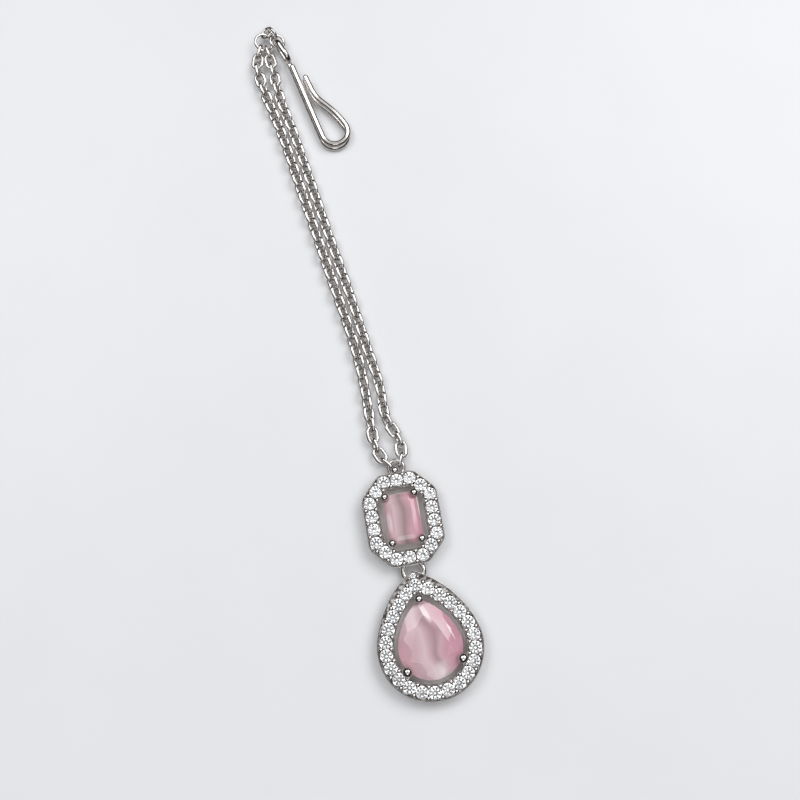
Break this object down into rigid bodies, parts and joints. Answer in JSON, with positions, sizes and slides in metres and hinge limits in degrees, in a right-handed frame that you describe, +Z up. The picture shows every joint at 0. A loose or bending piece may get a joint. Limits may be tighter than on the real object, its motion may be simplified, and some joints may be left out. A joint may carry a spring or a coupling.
{
  "type": "maang tikka",
  "caption": "Lying forehead ornament: pear and octagon stone settings with white stone halos, joined by a ring, on a double cable chain with a bent hair hook of two soldered wires.",
  "frame": {"origin": "middle of the outline at the surface it lies on", "axes": "+Y from the drop to the hook end, +Z up from the surface, +X to the right seen from above"},
  "size_m": [0.0204, 0.1448, 0.0051],
  "materials": {
    "polished_metal": "polished, rhodium plated",
    "pink_stone": "polished, milky rose pink",
    "white_stone": "polished, clear white"
  },
  "bodies": {
    "root": {"bail_ring": "polished_metal", "chain_left": "polished_metal", "chain_right": "polished_metal", "drop_frame": "polished_metal", "drop_halo_stone_01": "white_stone", "drop_halo_stone_02": "white_stone", "drop_halo_stone_03": "white_stone", "drop_halo_stone_04": "white_stone", "drop_halo_stone_05": "white_stone", "drop_halo_stone_06": "white_stone", "drop_halo_stone_07": "white_stone", "drop_halo_stone_08": "white_stone", "drop_halo_stone_09": "white_stone", "drop_halo_stone_10": "white_stone", "drop_halo_stone_11": "white_stone", "drop_halo_stone_12": "white_stone", "drop_halo_stone_13": "white_stone", "drop_halo_stone_14": "white_stone", "drop_halo_stone_15": "white_stone", "drop_halo_stone_16": "white_stone", "drop_halo_stone_17": "white_stone", "drop_halo_stone_18": "white_stone", "drop_halo_stone_19": "white_stone", "drop_halo_stone_20": "white_stone", "drop_halo_stone_21": "white_stone", "drop_halo_stone_22": "white_stone", "drop_halo_stone_23": "white_stone", "drop_halo_stone_24": "white_stone", "drop_ring": "polished_metal", "drop_stone": "pink_stone", "hair_hook": "polished_metal", "hook_ring": "polished_metal", "joining_ring_1": "polished_metal", "joining_ring_2": "polished_metal", "octagon_frame": "polished_metal", "octagon_halo_stone_01": "white_stone", "octagon_halo_stone_02": "white_stone", "octagon_halo_stone_03": "white_stone", "octagon_halo_stone_04": "white_stone", "octagon_halo_stone_05": "white_stone", "octagon_halo_stone_06": "white_stone", "octagon_halo_stone_07": "white_stone", "octagon_halo_stone_08": "white_stone", "octagon_halo_stone_09": "white_stone", "octagon_halo_stone_10": "white_stone", "octagon_halo_stone_11": "white_stone", "octagon_halo_stone_12": "white_stone", "octagon_halo_stone_13": "white_stone", "octagon_halo_stone_14": "white_stone", "octagon_halo_stone_15": "white_stone", "octagon_halo_stone_16": "white_stone", "octagon_halo_stone_17": "white_stone", "octagon_halo_stone_18": "white_stone", "octagon_stone": "pink_stone", "strand_ring": "polished_metal"}
  },
  "joints": []
}
